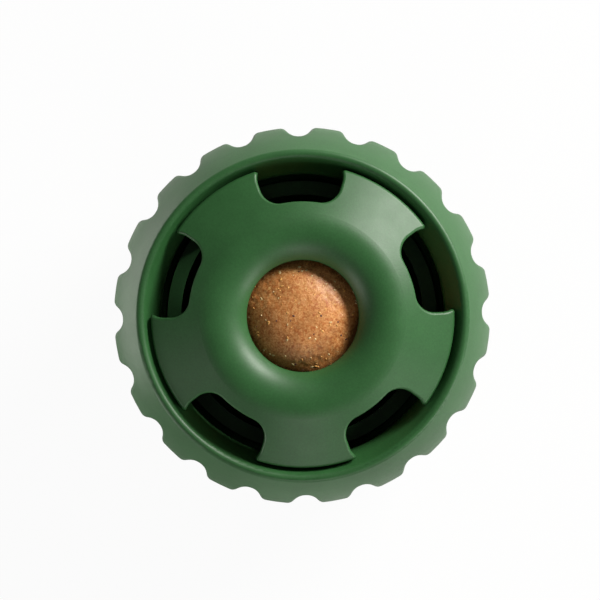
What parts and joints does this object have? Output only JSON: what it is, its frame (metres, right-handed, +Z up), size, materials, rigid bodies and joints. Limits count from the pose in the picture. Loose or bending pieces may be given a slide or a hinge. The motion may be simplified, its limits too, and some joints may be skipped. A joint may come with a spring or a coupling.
{
  "type": "treat dispensing dog toy",
  "caption": "Hollow rubber ball in two halves that screw together round a treat, with a treaded equator, a licking hole and windows that let crumbs out.",
  "frame": {"origin": "centre of the foot that the toy stands on", "axes": "+Z up along the axis of the ball, through the licking hole; +Y towards the middle of one window"},
  "size_m": [0.0954, 0.0954, 0.0672],
  "materials": {
    "green_rubber": "satin",
    "baked_treat": "matte"
  },
  "bodies": {
    "base": {"tread_base": "green_rubber"},
    "treat": {"treat_ball": "baked_treat"},
    "cap": {"licking_cap": "green_rubber"}
  },
  "joints": [
    {"name": "cap_twist", "type": "hinge", "parent": "base", "child": "treat", "pos_m": [0, 0, 0.0421], "axis": [0, 0, 1], "range_deg": [0, 270]},
    {"name": "cap_lift", "type": "slide", "parent": "treat", "child": "cap", "axis": [0, 0, 1], "range_m": [0, 0.0375]}
  ],
  "couplings": [
    {"joint": "cap_lift", "follows": "cap_twist", "m_per_rad": 0.0079577}
  ]
}
